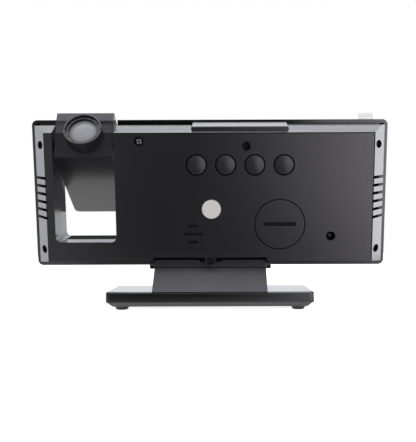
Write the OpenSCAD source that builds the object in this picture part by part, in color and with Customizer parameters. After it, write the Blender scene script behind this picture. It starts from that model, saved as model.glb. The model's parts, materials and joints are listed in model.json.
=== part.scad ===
// Projection alarm clock: a slim clock head that leans back on a pedestal stand,
// with a projector that swings in an open window of the head.
// Millimetres. X runs along the clock, +Y towards the back, +Z up, Z = 0 on the table.
// The head is drawn upright in its own frame: X, depth from the front face, height below the top.

/* [Clock head] */
// Width of the clock head
head_w = 192.4; // [184:0.1:210]
// Height of the clock head along its lean
head_h = 79.7; // [77:0.1:84]
// Depth of the front frame, front face to rear rim
frame_d = 10.2; // [9.6:0.2:12]
// Rise of the rear cover behind the rim
cover_rise = 13.3; // [12.6:0.1:15]
// Wall of the front frame
frame_wall = 1.9; // [1.6:0.1:2.2]
// Wall of the frame's underside
frame_floor = 1.9; // [1.6:0.1:2.2]
// Outer corner radius of the head
corner_r = 3; // [2.6:0.2:4]
// Wall of the rear cover
cover_wall = 1.8; // [1.5:0.1:2]
// Width of the rear cover's sloping sides
slope_side = 7.5; // [6.5:0.1:9]
// Height of the rear cover's sloping top
slope_top = 4.1; // [3.5:0.1:4.6]
// Height of the rear cover's sloping underside
slope_floor = 2.4; // [2:0.1:3.6]
// Gap between the rim and the foot of the side slopes and of the underside
rim_gap = 0.2; // [0.15:0.05:0.3]
// Width of the groove between the top rim and the rear cover
groove_w = 1.1; // [0.8:0.1:1.6]
// Depth at which the side slopes start behind the rim
rise_side = 2.2; // [0.2:0.1:4]
// Depth at which the top slope starts behind the rim
rise_top = 5.2; // [0.2:0.1:7]
// Depth that the rear cover's skirt reaches into the frame
skirt_d = 3.2; // [2.4:0.1:3.6]

/* [Screen] */
// Thickness of the front panel
lens_t = 1.5; // [1.2:0.1:1.8]
// Rim of the frame around the front panel
bezel_w = 1.3; // [1:0.1:1.8]
// Thickness of the shelf behind the panel
shelf_t = 1.5; // [1.2:0.1:2]
// Height of the lit display block
display_h = 49; // [44:1:51]
// Height of the hour and minute digits
digit_h = 36; // [24:1:40]
// Width of one digit
digit_w = 20; // [14:1:22]
// Width of one bar of a digit
bar_w = 3.6; // [2:0.2:4.4]
// Thickness of the protective film
film_t = 0.2; // [0.1:0.05:0.3]
// Width of the film's pull tab
tab_w = 8.1; // [6:0.1:12]
// Height that the tab stands above the head
tab_h = 4; // [2:0.5:8]
// Thickness of the circuit boards
board_t = 1.6; // [1.2:0.2:2]

/* [Projector] */
// Width of the head between the window and the clock's end
window_side = 14; // [13.4:0.1:16]
// Width of the window
window_w = 32.3; // [31.4:0.1:33.4]
// Depth of the window below the top
window_h = 64.8; // [63.8:0.1:67]
// Height of the frame's sill above the window's floor at the front
sill_rise = 0.3; // [0.1:0.1:0.6]
// Depth of the frame's sill below the window's floor at the back
sill_fall = 0.7; // [0.2:0.1:0.8]
// Corner radius at the bottom of the window
window_r = 3; // [2:0.2:4]
// Wall around the window
window_wall = 1.6; // [1.4:0.1:1.8]
// Gap between the projector and each side of the window
swing_gap = 0.9; // [0.6:0.1:1.2]
// Length of the projector
proj_len = 60.1; // [57:0.1:60.8]
// Thickness of the projector
proj_t = 24.4; // [23.6:0.1:25]
// Wall of the projector's shells
proj_wall = 1.6; // [1.4:0.1:1.8]
// How far the projector's front face stands proud of the head's
proj_out = 0.4; // [0:0.1:0.8]
// Corner radius of the projector's tail
tail_r = 3; // [2:0.2:4]
// Height of the pivot below the top of the head
pivot_drop = 12.5; // [12:0.1:13]
// Angle between the projector and the head
proj_swing = 52; // [0:1:90]
// Outer radius of the lens barrel
barrel_r = 9.9; // [9.4:0.05:10.1]
// Height of the barrel's rim above the projector's top corner
barrel_top = 2.6; // [1.8:0.1:2.8]
// Radius of the projection lens
lens_r = 7.5; // [6.6:0.1:7.6]
// Radius of the pivot tubes
pivot_r = 3; // [2.6:0.1:3.2]

/* [Controls] */
// Radius of a push button
key_r = 4.9; // [4.4:0.1:5.1]
// Distance between push buttons
key_pitch = 15.35; // [15:0.05:16]
// Height of the buttons below the top
key_drop = 23.9; // [23.4:0.1:25.6]
// How far a button's crown stands out
key_proud = 0.7; // [0.3:0.1:1]
// Travel of a button
key_travel = 0.7; // [0.4:0.1:0.8]
// Length of the snooze bar
snooze_w = 50.9; // [40:0.1:56]
// Centre of the snooze bar from the clock's centre
snooze_x = -16.1; // [-22:0.1:-10]
// Travel of the snooze bar
snooze_travel = 0.7; // [0.4:0.1:0.8]
// Radius of the battery door
door_r = 13.15; // [12.6:0.05:13.4]
// Length of the coin slot in the battery door
coin_slot_w = 17; // [12:0.5:18]
// Depth of the coin slot
coin_slot_d = 1.5; // [0.8:0.1:1.5]
// Radius of the power inlet's hole
inlet_r = 2.45; // [2.3:0.05:2.6]
// Number of cooling slots on each side
vent_count = 6; // [3:1:6]
// Distance between cooling slots
vent_pitch = 4.22; // [3.6:0.02:4.4]
// Height of a cooling slot
vent_h = 1.5; // [1:0.1:1.8]

/* [Stand] */
// Lean of the head from upright
lean = 8.25; // [0:0.25:16]
// Depth of the hinge behind the head's front face
hinge_d = 16.5; // [16.3:0.1:16.8]
// Height of the hinge above the head's lower edge
hinge_up = 2.15; // [2:0.05:2.3]
// Height of the hinge above the table
hinge_z = 24.1; // [22:0.1:28]
// Radius of the stand's knuckle
knuckle_r = 2.15; // [2:0.05:2.2]
// Length of the stand's knuckle
knuckle_w = 60.6; // [50:0.1:61]
// Radius of the hinge pins
pin_r = 1; // [0.8:0.05:1.1]
// Length of a hinge pin inside the knuckle
pin_grip = 6; // [4:0.5:10]
// Width of one hinge lug
lug_w = 2.4; // [2:0.1:3]
// Radius of a hinge lug
lug_r = 3.1; // [2.8:0.1:3.2]
// Thickness of the neck
neck_t = 4.6; // [4.2:0.1:5]
// Width of the base
base_w = 109.8; // [104:0.1:130]
// Depth of the base
base_d = 40.7; // [40:0.1:48]
// Height of the base's top above the table
base_top = 9.8; // [9.4:0.1:10.2]
// Corner radius of the base
base_r = 2.4; // [2:0.1:5]
// Chamfer along the base's upper edge
base_edge = 0.7; // [0.4:0.1:1]
// Thickness of the base's lower plate
plate_t = 2.6; // [2.2:0.1:2.8]
// Width of the chamfer under the lower plate
plate_bevel = 3.4; // [2:0.1:4]
// Height of the rubber feet
foot_h = 1.8; // [1.5:0.1:2.2]
// Upper radius of a rubber foot
foot_r = 3.9; // [3:0.1:4.2]
// Distance of the base's centre behind the middle of the whole clock
base_y = 6.35; // [5:0.05:9]

/* [Hidden] */
$fn = 64;

// small clearances and depths that several pieces share
eps = 0.01;
fit_gap = 0.15;
run_gap = 0.05;
head_t = frame_d + cover_rise;
half_w = head_w / 2;
cover_in = head_t - cover_wall;
shelf_d = lens_t + shelf_t;

// foot of the slopes, measured in from the head's outline
foot_side = frame_wall + rim_gap;
foot_top = frame_wall + groove_w;
foot_floor = frame_floor + rim_gap;
flat_x = half_w - foot_side - slope_side;
flat_top = -foot_top - slope_top;
flat_floor = -head_h + foot_floor + slope_floor;
skirt_from = frame_d - skirt_d;
flange_t = 0.8;

// projector
win_x1 = half_w - window_side;
window_x = win_x1 - window_w;
win_mid = window_x + window_w / 2;
sill_part = sill_rise / (sill_rise + sill_fall);
proj_x0 = window_x + swing_gap;
proj_x1 = win_x1 - swing_gap;
pivot_d = frame_d;
pivot_w = -pivot_drop;
lens_d = proj_t / 2;
// the projector's end steps down from its front corner to its rear corner
end_flat = 4.7;
end_step = [6.8, -1.3];
end_brow = [11.2, -1.9];
end_low = -5.9;
barrel_wall = 0.9;
rim_notch = 0.6;
bush_r = pivot_r + run_gap + 1.4;
bush_flange_r = bush_r + 1;
bush_flange_t = 1;
tube_bore = pivot_r - 1;
tube_flange_r = pivot_r + 1.4;
tube_out = 2.5;
proj_screw_x = [proj_x0 + 6, proj_x1 - 6];
proj_screw_w = -proj_len + 8;
proj_post_r = 2.4;
proj_seat = 2.6;
// carrier of the projector's optics
core_half = proj_x1 - proj_wall - win_mid - fit_gap;
core_top = end_low - 16;
core_low = -42;
core_r = 8.4;
core_flange_t = 1.5;
// focus ring
focus_r = barrel_r - barrel_wall - 0.08;
focus_top = barrel_top - 1.2;
focus_low = end_low - 8;
lens_depth = 4.2;

// places of fasteners and controls on the rear, X and height
corner_x = flat_x + 3.1;
corner_screws = [[corner_x, -13.2], [-corner_x, -13.2], [corner_x, -69.1], [-corner_x, -69.1]];
left_screw = [window_x - 13.1, -11.5];
right_screw = [-19.2, -14.1];
lower_screw = [0, -75.1];
edge_screws = concat(corner_screws, [lower_screw]);
screw_r = 1;
screw_head_r = 1.9;
screw_head_t = 1.3;
screw_clear = 0.2;
corner_hole_r = 2.15;
left_hole_r = 2.25;
right_hole_r = 2.45;
lower_hole_r = 2.15;
boss_wall = 0.85;
corner_seat = frame_d + 0.6;
left_seat = head_t - 2.6;
right_seat = head_t - 9;
lower_seat = head_t - 2.9;
boss_join = frame_d + 0.3;
corner_join = skirt_from;
frame_boss_r = 2.8;
key_x0 = 6.8;
key_xs = [for (i = [0:3]) key_x0 - i * key_pitch];
key_hole_r = key_r + 0.6;
key_flange_r = key_hole_r + 0.8;
key_flange_t = 0.9;
key_stem_r = 1.4;
key_crown_r = 17;
door_pos = [-half_w + 59, -55.3];
cell_r = 10;
cell_t = 3.2;
door_t = 1.8;
door_gap = 0.2;
door_skirt_r = cell_r + 0.3;
door_skirt_h = 2.1;
door_turn = 45;
coin_slot_h = 2.2;
// two tabs under the door turn in an arc groove of the bay
tab_half = 12;
tab_play = 1;
tab_reach = 1.7;
tab_d = head_t - door_t - door_skirt_h + 0.1;
tab_t = 0.9;
ledge_t = 0.65;
bay_r = cell_r + 0.6;
bay_floor_t = 1.2;
bay_depth = 8.2;
bay_floor = head_t - bay_depth;
contact_t = 0.3;
cell_d = bay_floor + 1.4;
inlet_pos = [-half_w + 31.8, -61.7];
inlet_half = 4.5;
buzzer_r = 8;
buzzer_h = 5;
buzzer_hole_r = 6.4;
// leaf under the cell and clip beside it
leaf_half = [7, 2];
clip_from = 8.6;
sticker_pos = [-0.9, -47.2];
sticker_r = 5;
sticker_t = 0.12;
grille_pos = [8.85, -60.4];
grille_rows = [[4.5, 4.3], [9.7, 0], [4.6, -4.3]];
grille_h = 1.25;
vent_top = -30.6;
vent_in = 0.5;

// boards and switches
board_d = 8.2;
board_back = board_d + board_t;
board_x = [-half_w + 12, window_x - 6.8];
board_w = [-75.5, -10.1];
board_posts = [[board_x[0] + 5, -15.1], [board_x[1] - 15, -15.1],
  [board_x[0] + 5, -72.6], [board_x[1] - 5, -72.6]];
// chips by lower corner and size, capacitors by place, height and radius
main_chip = [[-20, -46], [12, 12, 1.6]];
driver_chip = [[16, -44], [8, 6, 1.4]];
capacitors = [[[-66, -30], 8, 3.2], [[-74, -40], 7, 2.5], [[30, -30], 5, 2.5]];
lead_socket = [6, 8, 4];
post_r = 2.2;
board_screw_r = 0.8;
board_screw_head = 1.7;
display_x = [-half_w + 9.5, window_x - 6.3];
display_mid = [(display_x[0] + display_x[1]) / 2, -44.1];
display_d = lens_t + 0.45;
bar_t = 0.3;
button_board_d = 12.4;
switch_size = 6;
switch_t = 3.2;
switch_cap_r = 1.7;
switch_cap_t = 0.4;
switch_top = button_board_d + board_t + switch_t + switch_cap_t;
button_board_side = 8;
button_board_up = 5;
button_board_down = 11;
button_posts = [[key_x0 + 5.2, -32.6], [key_xs[3] - 5.25, -32.6]];
button_post_r = 2;

// lead of the projector, from the pivot tube to the plug on the board
lead_r = 0.9;
lead_sides = 10;
lead_x = window_x - 10.8;
lead_d = board_back + 2.2;
lead_route = [
  [window_x - 0.8, pivot_d, pivot_w], [window_x - 2.8, pivot_d, pivot_w],
  [window_x - 4.6, pivot_d + 0.1, pivot_w], [lead_x + 4.2, 10.9, pivot_w - 0.2],
  [lead_x + 2.2, 11.7, pivot_w - 0.9], [lead_x + 0.7, lead_d, -14], [lead_x, lead_d, -15],
  [lead_x, lead_d, -16]
];
lead_last = len(lead_route) - 1;

// snooze bar and its tray
snooze_gap = 0.3;
snooze_x0 = snooze_x - snooze_w / 2;
snooze_x1 = snooze_x + snooze_w / 2;
snooze_front = frame_d + 0.2;
snooze_back = frame_d + 10.6;
snooze_high = -1.35;
snooze_edge = -3.65;
snooze_low = -6.6;
strip_t = 0.45;
tray_low = snooze_low - snooze_travel - 0.2;
tray_t = 1.2;
snooze_stem_r = 1.2;
snooze_stem_d = frame_d + 4;
snooze_stem_in = 13.6;
snooze_stem_x = snooze_x1 - snooze_stem_in;
snooze_post_x = 6.5;
snooze_board_half = [9, 3.4];
snooze_board_w = tray_low - tray_t - 5.6;

// hinge pocket
hinge_w = -head_h + hinge_up;
side_gap = 0.2;
pocket_x = knuckle_w / 2 + side_gap;
pocket_top = flat_floor + 2;
pocket_d = hinge_d - knuckle_r - 0.8;
pocket_wall = 1.4;
// the lower screw's boss widens to a round tab at the rear
tab_boss_r = lower_hole_r + 0.75;
tab_boss_t = 3.7;
lower_boss_r = screw_r + screw_clear + 0.8;
notch_x = tab_boss_r + 3.1;
notch_rise = 0.9;
groove_x = lower_boss_r + 0.5;
groove_drop = 0.6;
knuckle_rear = 2.4;
hinge_y = base_y + 4.35;

// base
foot_x = base_w / 2 - plate_bevel - foot_r - 0.6;
foot_y = base_d / 2 - plate_bevel - foot_r - 0.1;
plate_top = foot_h + plate_t;
base_wall = 1.8;
ceiling_z = base_top - base_wall;
base_screw_at = [foot_x - 9, foot_y];
neck_screw_x = 20;
neck_foot_y = base_y + base_d / 2 - 0.05;
neck_top = [hinge_y + knuckle_rear, hinge_z - knuckle_r];
neck_foot = [neck_foot_y, base_top];
neck_run = neck_top - neck_foot;
neck_len = norm(neck_run);
// depth of the slanting neck where it stands on the base
neck_foot_d = neck_t * neck_len / neck_run[1];
neck_screw_y = neck_foot_y - 0.72 * neck_foot_d;
neck_screw_up = 2.8;
weight_t = 3;
weight_w = 2 * (base_screw_at[0] - frame_boss_r - 1.8);
weight_front = base_y - base_d / 2 + 4;
weight_d = 19;

// ---------- helpers ----------

// a box in the head's frame, from low to high corners in X, depth and height
module slab(x0, x1, d0, d1, w0, w1) {
  translate([x0, d0, w0]) cube([x1 - x0, d1 - d0, w1 - w0]);
}

// a round post or hole along the head's depth
module post(at, d0, d1, r) {
  translate([at[0], d0, at[1]]) rotate([-90, 0, 0]) cylinder(h = d1 - d0, r = r);
}

// an outline in X and height, made solid from depth d0 to d1
module plate(d0, d1) {
  translate([0, d1, 0]) rotate([90, 0, 0]) linear_extrude(d1 - d0) children();
}

// a profile in depth and height, made solid from x0 to x1
module profile(x0, x1) {
  translate([x0, 0, 0]) rotate([90, 0, 90]) linear_extrude(x1 - x0) children();
}

// a round bar or hole along X
module axle(x0, x1, d, w, r) {
  translate([x0, d, w]) rotate([0, 90, 0]) cylinder(h = x1 - x0, r = r);
}

// a rectangle with round corners
module rounded(x0, x1, y0, y1, r) {
  translate([x0 + r, y0]) square([x1 - x0 - 2 * r, y1 - y0]);
  translate([x0, y0 + r]) square([x1 - x0, y1 - y0 - 2 * r]);
  for (x = [x0 + r, x1 - r], y = [y0 + r, y1 - r]) translate([x, y]) circle(r);
}

// the outline of the head, drawn in by a margin
module head_outline(side, top, floor_in, r) {
  rounded(-half_w + side, half_w - side, -head_h + floor_in, -top, r);
}

// the window's outline, grown by a margin and open at the top
// height of the frame's sill at a depth
function sill(d) = sill_rise - window_h - (sill_rise + sill_fall) * d / frame_d;

module window_outline(grow) {
  r = window_r + grow;
  rounded(window_x - grow, win_x1 + grow, -window_h - grow, 20, r);
}

// part of a ring between two angles
module arc(from, to, r0, r1) {
  far = 2 * r1;
  mid = (from + to) / 2;
  intersection() {
    difference() {
      circle(r1);
      circle(r0);
    }
    polygon([[0, 0], far * [cos(from), sin(from)], far * [cos(mid), sin(mid)],
      far * [cos(to), sin(to)]]);
  }
}

// a cross-head screw with its head's underside at depth d, its tip at depth d - len
module screw(at, d, len, r, head_r, head_t) {
  difference() {
    union() {
      post(at, d - len, d + eps, r);
      post(at, d, d + head_t, head_r);
    }
    for (turn = [45, 135]) {
      translate([at[0], d + head_t - 0.7, at[1]]) rotate([0, turn, 0])
        translate([-head_r * 0.6, 0, -0.22]) cube([head_r * 1.2, 2, 0.44]);
    }
  }
}

// carries the head from its own frame to its place on the stand
module on_stand() {
  translate([0, hinge_y, hinge_z]) rotate([-lean, 0, 0]) translate([0, -hinge_d, -hinge_w])
    children();
}

// carries the projector from its stored place to its swung place in the head
module swung() {
  on_stand() translate([0, pivot_d, pivot_w]) rotate([-proj_swing, 0, 0])
    translate([0, -pivot_d, -pivot_w]) children();
}

// ---------- stand ----------

module base_outline(inset) {
  r = max(base_r - inset, 0.4);
  rounded(-base_w / 2 + inset, base_w / 2 - inset,
    base_y - base_d / 2 + inset, base_y + base_d / 2 - inset, r);
}

// a block with the base's outline whose upper or lower edge is drawn in
module tapered(z0, z1, low_in, high_in) {
  hull() {
    translate([0, 0, z0]) linear_extrude(eps) base_outline(low_in, $fn = 32);
    translate([0, 0, z1 - eps]) linear_extrude(eps) base_outline(high_in, $fn = 32);
  }
}

module base_cover() {
  color([0.08, 0.08, 0.09]) difference() {
    union() {
      translate([0, 0, plate_top]) linear_extrude(base_top - base_edge - plate_top) base_outline(0);
      tapered(base_top - base_edge, base_top, 0, base_edge);
    }
    difference() {
      translate([0, 0, plate_top - 1]) linear_extrude(ceiling_z - plate_top + 1)
        base_outline(base_wall);
      for (x = [-1, 1], y = [-1, 1]) {
        translate([x * base_screw_at[0], base_y + y * base_screw_at[1], 0])
          cylinder(h = ceiling_z + 1, r = frame_boss_r);
      }
    }
    for (x = [-1, 1], y = [-1, 1]) {
      translate([x * base_screw_at[0], base_y + y * base_screw_at[1], plate_top - 1])
        cylinder(h = ceiling_z - plate_top + 0.6, r = screw_r);
    }
    for (x = [-1, 1]) {
      translate([x * neck_screw_x, neck_screw_y, ceiling_z - 1])
        cylinder(h = base_wall + 2, r = screw_r + screw_clear);
    }
  }
}

module base_plate() {
  color([0.10, 0.10, 0.11]) difference() {
    tapered(foot_h, plate_top, plate_bevel, 0);
    for (x = [-1, 1], y = [-1, 1]) {
      translate([x * base_screw_at[0], base_y + y * base_screw_at[1], 0]) {
        cylinder(h = foot_h + screw_head_t, r = screw_head_r + screw_clear);
        cylinder(h = plate_top + 1, r = screw_r + screw_clear);
      }
    }
  }
}

module base_weight() {
  color([0.5, 0.5, 0.52])
    translate([-weight_w / 2, weight_front, plate_top]) cube([weight_w, weight_d, weight_t]);
}

module rubber_feet() {
  color([0.05, 0.05, 0.05]) for (x = [-1, 1], y = [-1, 1]) {
    translate([x * foot_x, base_y + y * foot_y, 0])
      rotate_extrude() polygon([[0, 0], [foot_r - 1.1, 0], [foot_r - 0.8, 0.25],
        [foot_r, foot_h], [0, foot_h]]);
  }
}

module base_screws() {
  color([0.4, 0.4, 0.42]) for (x = [-1, 1], y = [-1, 1]) {
    translate([x * base_screw_at[0], base_y + y * base_screw_at[1], foot_h + screw_head_t])
      rotate([-90, 0, 0]) screw([0, 0], 0, plate_t - screw_head_t + 2.6, screw_r, screw_head_r, 1);
  }
}

// the slanting neck rises forwards from the base's rear edge to the knuckle
module neck_profile() {
  off = neck_t / neck_len * [neck_run[1], -neck_run[0]];
  polygon([neck_foot, neck_top, [hinge_y + knuckle_rear, hinge_z + knuckle_r - 0.4],
    [hinge_y + knuckle_rear - 0.4, hinge_z + knuckle_r], [hinge_y, hinge_z + knuckle_r],
    [hinge_y, hinge_z], [hinge_y - knuckle_r, hinge_z],
    [hinge_y - knuckle_r + 0.2, hinge_z - knuckle_r], neck_top - off,
    neck_foot - [neck_foot_d, 0]]);
  translate([hinge_y, hinge_z]) circle(knuckle_r);
}

module stand_neck() {
  color([0.12, 0.12, 0.13]) difference() {
    profile(-knuckle_w / 2, knuckle_w / 2) neck_profile();
    for (cut = [[notch_x, notch_rise], [groove_x, -groove_drop]]) {
      translate([-cut[0], hinge_y - 2 * knuckle_r, hinge_z + cut[1]])
        cube([2 * cut[0], 2 * knuckle_r + knuckle_rear + 1, knuckle_r - cut[1] + 1]);
    }
    for (side = [-1, 1]) {
      axle(side > 0 ? knuckle_w / 2 - pin_grip : -knuckle_w / 2 - 1,
        side > 0 ? knuckle_w / 2 + 1 : -knuckle_w / 2 + pin_grip, hinge_y, hinge_z, pin_r);
      translate([side * neck_screw_x, neck_screw_y, base_top - 1])
        cylinder(h = neck_screw_up + 1.2, r = screw_r);
    }
  }
}

module neck_screws() {
  color([0.4, 0.4, 0.42]) for (side = [-1, 1]) {
    translate([side * neck_screw_x, neck_screw_y, ceiling_z])
      rotate([-90, 0, 0]) screw([0, 0], 0, base_wall + neck_screw_up, screw_r, screw_head_r, 1);
  }
}

module hinge_pins() {
  color([0.7, 0.7, 0.72]) for (side = [-1, 1]) {
    far = knuckle_w / 2 + side_gap + lug_w;
    near = knuckle_w / 2 - pin_grip;
    axle(side > 0 ? near : -far, side > 0 ? far : -near, hinge_y, hinge_z, pin_r);
  }
}

// ---------- clock head: shells ----------

module front_frame() {
  color([0.07, 0.07, 0.08]) on_stand() difference() {
    union() {
      difference() {
        plate(0, frame_d) head_outline(0, 0, 0, corner_r);
        plate(shelf_d, skirt_from - fit_gap)
          head_outline(frame_wall, frame_wall, frame_wall, corner_r - frame_wall + 0.4);
        plate(skirt_from - fit_gap - eps, frame_d + 1)
          head_outline(frame_wall, frame_wall, frame_floor, 3 * rim_gap);
      }
      intersection() {
        plate(0, frame_d) difference() {
          window_outline(window_wall);
          window_outline(0);
        }
        plate(0, frame_d) head_outline(0, 0, 0, corner_r);
      }
      for (at = edge_screws) post(at, lens_t + eps, corner_join, frame_boss_r);
      for (at = [left_screw, right_screw]) post(at, lens_t + eps, boss_join, frame_boss_r);
      for (at = board_posts) post(at, lens_t + eps, board_d, post_r);
    }
    // the sill falls towards the back
    intersection() {
      plate(-1, frame_d + 1) window_outline(0);
      profile(window_x - 1, win_x1 + 1) polygon([[-1, 1], [-1, sill(-1)],
        [frame_d + 1, sill(frame_d + 1)], [frame_d + 1, 1]]);
    }
    profile(window_x + window_r, win_x1 - window_r) polygon([[frame_d * sill_part, 1 - window_h],
      [frame_d * sill_part, -window_h], [frame_d + 1, sill(frame_d + 1)],
      [frame_d + 1, 1 - window_h]]);
    plate(-1, lens_t) difference() {
      head_outline(bezel_w, bezel_w, bezel_w, corner_r - 1);
      window_outline(window_wall);
    }
    slab(display_x[0] - 0.5, display_x[1] + 0.5, 0, shelf_d + 1,
      display_mid[1] - display_h / 2 - 0.5, display_mid[1] + display_h / 2 + 0.5);
    for (at = edge_screws) post(at, lens_t + 1, corner_join + 1, screw_r);
    for (at = [left_screw, right_screw]) post(at, lens_t + 1, boss_join + 1, screw_r);
    for (at = board_posts) post(at, lens_t + 1, board_d + 1, board_screw_r);
    axle(window_x - window_wall - 1, win_x1 + window_wall + 1, pivot_d, pivot_w, bush_r);
  }
}

// the block of the rear cover: sloping sides, top and underside meet in mitred corners
module cover_block(inset, back) {
  side = half_w - foot_side - inset;
  front = skirt_from - (inset > 0 ? 1 : 0);
  intersection() {
    translate([0, 0, -head_h]) linear_extrude(head_h) polygon([
      [-side, front], [-side, frame_d + rise_side], [-flat_x + inset, back],
      [flat_x - inset, back], [side, frame_d + rise_side], [side, front]
    ]);
    profile(-half_w, half_w) polygon([
      [front, -foot_top - inset], [frame_d + rise_top, -foot_top - inset],
      [back, flat_top - inset], [back, flat_floor + inset],
      [frame_d, -head_h + foot_floor + inset], [front, -head_h + foot_floor + inset]
    ]);
  }
}

// a screw boss of the rear cover, from its seat to the cover's surface
module cover_boss(at, join, hole_r) {
  intersection() {
    post(at, join, head_t, hole_r + boss_wall);
    cover_block(0, head_t);
  }
}

module cover_screw_hole(at, join, seat, hole_r) {
  post(at, join - 1, seat + eps, screw_r + screw_clear);
  post(at, seat, head_t + 1, hole_r);
}

// the boss that reaches back through the hinge pocket, and its round tab
module lower_boss() {
  post(lower_screw, pocket_d - eps, head_t, lower_boss_r);
  post(lower_screw, head_t - tab_boss_t, head_t, tab_boss_r);
}

module rear_cover() {
  color([0.10, 0.10, 0.11]) on_stand() difference() {
    union() {
      difference() {
        cover_block(0, head_t);
        cover_block(cover_wall, cover_in);
      }
      // flange that closes the groove under the top rim
      slab(-half_w + foot_side + 1.5, half_w - foot_side - 1.5, skirt_from, skirt_from + flange_t,
        -foot_top - 0.5, -frame_wall - rim_gap);
      // walls of the window
      intersection() {
        plate(frame_d, head_t) window_outline(window_wall);
        cover_block(0, head_t);
      }
      for (at = corner_screws) cover_boss(at, corner_join, corner_hole_r);
      cover_boss(left_screw, boss_join, left_hole_r);
      cover_boss(right_screw, boss_join, right_hole_r);
      intersection() {
        post(lower_screw, corner_join, pocket_d, lower_hole_r + boss_wall);
        cover_block(0, head_t);
      }
      lower_boss();
      // battery bay
      post(door_pos, bay_floor - bay_floor_t, cover_in + eps, door_r + door_gap + 1.2);
      // posts of the button board
      for (at = button_posts) post(at, button_board_d + board_t, cover_in + eps, button_post_r);
      // tray of the snooze bar
      intersection() {
        slab(snooze_x0 - snooze_gap - tray_t, snooze_x1 + snooze_gap + tray_t, skirt_from,
          snooze_back + snooze_gap + tray_t, tray_low - tray_t, 0);
        cover_block(0, head_t);
      }
      for (side = [-1, 1]) {
        translate([snooze_stem_x + side * snooze_post_x, snooze_stem_d, snooze_board_w])
          cylinder(h = tray_low - tray_t / 2 - snooze_board_w, r = 1.4);
      }
      // walls of the hinge pocket
      intersection() {
        slab(-pocket_x - lug_w, pocket_x + lug_w, pocket_d - pocket_wall, head_t,
          -head_h, pocket_top + pocket_wall);
        cover_block(0, head_t);
      }
      for (side = [-1, 1]) {
        x0 = side > 0 ? pocket_x : -pocket_x - lug_w;
        axle(x0, x0 + lug_w, hinge_d, hinge_w, lug_r);
      }
    }
    difference() {
      slab(-pocket_x, pocket_x, pocket_d, head_t + 1, -head_h - lug_r - 1, pocket_top);
      lower_boss();
    }
    for (at = corner_screws) cover_screw_hole(at, corner_join, corner_seat, corner_hole_r);
    cover_screw_hole(left_screw, boss_join, left_seat, left_hole_r);
    cover_screw_hole(right_screw, boss_join, right_seat, right_hole_r);
    cover_screw_hole(lower_screw, corner_join, lower_seat, lower_hole_r);
    for (x = [-pocket_x - lug_w - 1, pocket_x - 1]) {
      axle(x, x + lug_w + 2, hinge_d, hinge_w, pin_r + run_gap);
    }
    // window, and room for the frame's own window wall
    plate(frame_d - 1, head_t + 1) window_outline(0);
    plate(0, frame_d) window_outline(window_wall + fit_gap);
    axle(window_x - window_wall - 1, win_x1 + window_wall + 1, pivot_d, pivot_w, bush_r);
    // controls
    for (x = key_xs) post([x, -key_drop], cover_in - 1, head_t + 1, key_hole_r);
    post(door_pos, head_t - door_t - door_gap, head_t + 1, door_r + door_gap);
    post(door_pos, bay_floor, head_t + 1, bay_r);
    for (at = [90, 270]) {
      open = at - door_turn;
      half = tab_half + tab_play;
      plate(tab_d - 0.2, head_t - door_t - door_gap - ledge_t) translate(door_pos)
        arc(open - half, at + half, bay_r - 1, door_skirt_r + tab_reach + 0.3);
      plate(tab_d - 0.2, head_t) translate(door_pos)
        arc(open - half, open + half, bay_r - 1, door_skirt_r + tab_reach + 0.3);
    }
    for (at = button_posts) {
      post(at, button_board_d + board_t - 1, button_board_d + board_t + 4, board_screw_r);
    }
    post(inlet_pos, cover_in - 1, head_t + 1, inlet_r);
    for (row = grille_rows) {
      slab(grille_pos[0] - row[0] / 2, grille_pos[0] + row[0] / 2, cover_in - 1, head_t + 1,
        grille_pos[1] + row[1] - grille_h / 2, grille_pos[1] + row[1] + grille_h / 2);
    }
    slab(snooze_x0 - snooze_gap, snooze_x1 + snooze_gap, frame_d - 1, snooze_back + snooze_gap,
      tray_low, 1);
    translate([snooze_stem_x, snooze_stem_d, tray_low - tray_t - 1])
      cylinder(h = tray_t + 2, r = snooze_stem_r + 0.3);
    for (i = [0:vent_count - 1], side = [-1, 1]) {
      w = vent_top - i * vent_pitch;
      x0 = flat_x - vent_in;
      x1 = half_w;
      slab(side > 0 ? x0 : -x1, side > 0 ? x1 : -x0, frame_d + 0.1, head_t + 1,
        w - vent_h / 2, w + vent_h / 2);
    }
  }
}

// ---------- clock head: screen ----------

module lens_outline(inset) {
  difference() {
    head_outline(bezel_w + inset, bezel_w + inset, bezel_w + inset, corner_r - 1.2);
    window_outline(window_wall + inset);
  }
}

module display_lens() {
  color([0.03, 0.03, 0.04, 0.8]) on_stand() plate(0, lens_t) lens_outline(fit_gap);
}

module screen_film() {
  color([0.85, 0.86, 0.86, 0.3]) on_stand() plate(-film_t, 0) {
    lens_outline(1);
    tab_x = -half_w + 5.8;
    polygon([[tab_x, -3], [tab_x + tab_w, -3], [tab_x + tab_w, tab_h - 0.5], [tab_x, tab_h]]);
  }
}

module display_block() {
  color([0.9, 0.9, 0.88]) on_stand()
    slab(display_x[0], display_x[1], display_d, board_d,
      display_mid[1] - display_h / 2, display_mid[1] + display_h / 2);
}

// bars of a digit in the order top, upper left, upper right, middle, lower left, lower right, bottom
DIGIT_BARS = [
  [1, 1, 1, 0, 1, 1, 1], [0, 0, 1, 0, 0, 1, 0], [1, 0, 1, 1, 1, 0, 1], [1, 0, 1, 1, 0, 1, 1],
  [0, 1, 1, 1, 0, 1, 0], [1, 1, 0, 1, 0, 1, 1], [1, 1, 0, 1, 1, 1, 1], [1, 0, 1, 0, 0, 1, 0],
  [1, 1, 1, 1, 1, 1, 1], [1, 1, 1, 1, 0, 1, 1]
];
shown = [1, 0, 0, 8];
digit_step = digit_w + 6.5;
colon_w = 7;

// one bar with pointed ends, lying along X or standing
module bar(len, upright) {
  n = bar_w / 2;
  rotate(upright ? 90 : 0)
    polygon([[-len / 2, 0], [-len / 2 + n, n], [len / 2 - n, n], [len / 2, 0],
      [len / 2 - n, -n], [-len / 2 + n, -n]]);
}

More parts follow.
